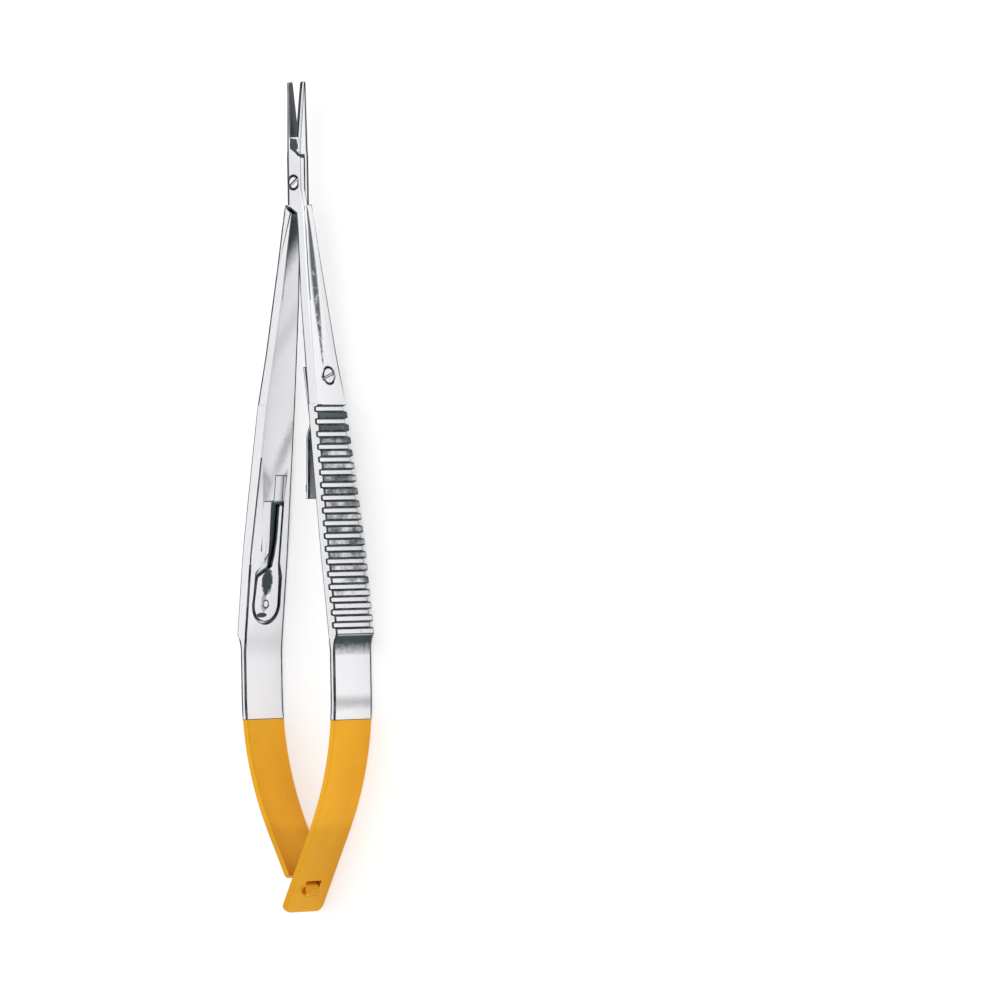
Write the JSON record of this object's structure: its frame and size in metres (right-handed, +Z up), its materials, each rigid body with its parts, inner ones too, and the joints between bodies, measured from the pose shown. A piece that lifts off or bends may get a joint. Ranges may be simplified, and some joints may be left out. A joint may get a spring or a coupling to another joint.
{
  "type": "surgical needle holder",
  "caption": "Spring-handled needle holder with slim straight jaws, ridged handles, a catch and crossed gold-plated leaf springs.",
  "frame": {"origin": "middle of the instrument's outline on the surface it lies on", "axes": "+X across the handles to the right arm, +Y forward to the jaw tips, +Z up along the pivot screw"},
  "size_m": [0.0226, 0.1394, 0.0094],
  "materials": {
    "steel": "satin polished stainless steel",
    "spring_steel": "polished spring steel",
    "screws": "turned and polished",
    "hard_metal": "fine-toothed dark hard metal",
    "gold_plate": "satin gold plating on spring steel"
  },
  "bodies": {
    "front_body": {"front_half": "steel", "pivot_screw": "screws", "jaw_insert_left": "hard_metal", "catch_strip": "spring_steel", "catch_screw": "screws", "spring_leaf_right": "gold_plate"},
    "rear_body": {"rear_half": "steel", "jaw_insert_right": "hard_metal", "catch_lever_pin": "screws", "spring_leaf_left": "gold_plate"},
    "lever_body": {"catch_lever": "spring_steel"}
  },
  "joints": [
    {"name": "handle_pivot", "type": "hinge", "parent": "front_body", "child": "rear_body", "pos_m": [0, 0.05275, 0.0047], "axis": [0, 0, 1], "range_deg": [0, 7.2], "stiffness_Nm_per_rad": 1, "deforming": ["spring_leaf_left", "spring_leaf_right"]},
    {"name": "lever_turn", "type": "hinge", "parent": "rear_body", "child": "lever_body", "pos_m": [-0.00872, -0.01795, 0.0047], "axis": [0.993, -0.1183, 0], "range_deg": [0, 3], "stiffness_Nm_per_rad": 0.02}
  ]
}
